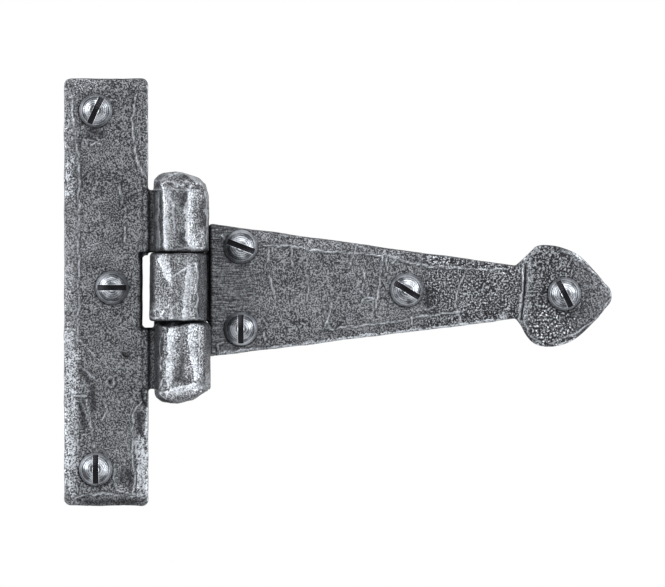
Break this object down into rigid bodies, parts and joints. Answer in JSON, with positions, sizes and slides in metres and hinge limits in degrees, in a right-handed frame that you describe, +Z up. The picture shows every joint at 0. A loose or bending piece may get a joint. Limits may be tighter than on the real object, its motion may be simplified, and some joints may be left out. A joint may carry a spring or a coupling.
{
  "type": "tee hinge",
  "caption": "Surface-mounted tee hinge in hammered steel, with a tall plate, an arrowhead strap, a riveted pin and slotted round-head screws.",
  "frame": {"origin": "on the pin's axis line, in the plane of the leaves' backs, level with the middle of the tee plate's height", "axes": "+X along the strap towards its arrowhead, +Y into the wall behind the leaves, +Z up along the pin"},
  "size_m": [0.129, 0.0363, 0.1006],
  "materials": {
    "forged_steel": "hand-hammered and pitted, dark pewter patina waxed over, rubbed bright on edges and ridges",
    "screw_steel": "turned, dulled pewter finish, rubbed bright beside the slot"
  },
  "bodies": {
    "tee_plate": {"tee_plate": "forged_steel", "hinge_pin": "forged_steel", "plate_screw_top": "screw_steel", "plate_screw_middle": "screw_steel", "plate_screw_bottom": "screw_steel"},
    "strap": {"strap": "forged_steel", "strap_screw_upper": "screw_steel", "strap_screw_lower": "screw_steel", "strap_screw_middle": "screw_steel", "strap_screw_tip": "screw_steel"}
  },
  "joints": [
    {"name": "strap_swing", "type": "hinge", "parent": "tee_plate", "child": "strap", "pos_m": [0, -0.0067, 0], "axis": [0, 0, -1], "range_deg": [0, 180]}
  ]
}
